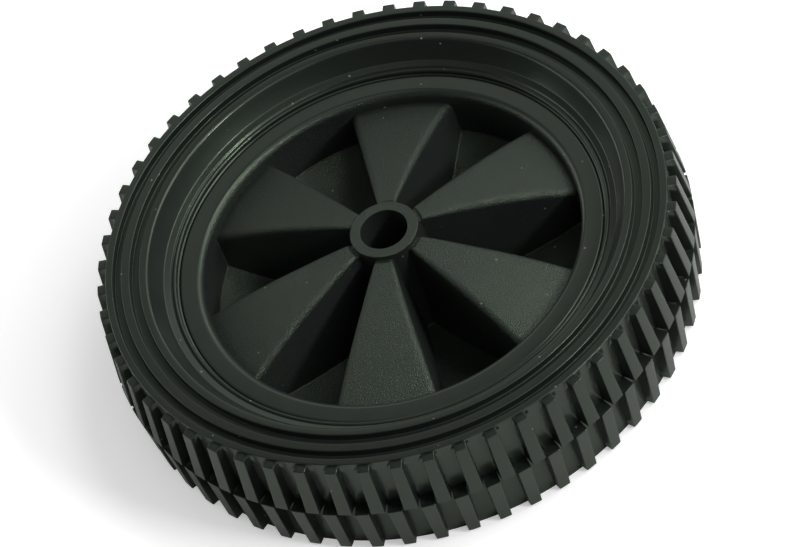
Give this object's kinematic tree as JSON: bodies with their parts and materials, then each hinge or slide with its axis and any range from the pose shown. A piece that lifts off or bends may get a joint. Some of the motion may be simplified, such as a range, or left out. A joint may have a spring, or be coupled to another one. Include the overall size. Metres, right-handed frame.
{
  "type": "garden machine wheel",
  "caption": "Plastic wheel for a mower or other garden machine: staggered block tread, grooved side faces, dished rim, corrugated spoked centre and a plain axle bore.",
  "frame": {"origin": "on the axis of the axle bore, in the plane of the tyre's back side face", "axes": "+Z along the axle bore towards the front face; X along the middle of a front spoke"},
  "size_m": [0.15, 0.15, 0.032],
  "materials": {
    "tyre": "satin, moulded soft plastic",
    "wheel_body": "matt, fine moulded grain"
  },
  "bodies": {
    "root": {"tyre": "tyre", "wheel_body": "wheel_body"}
  },
  "joints": []
}
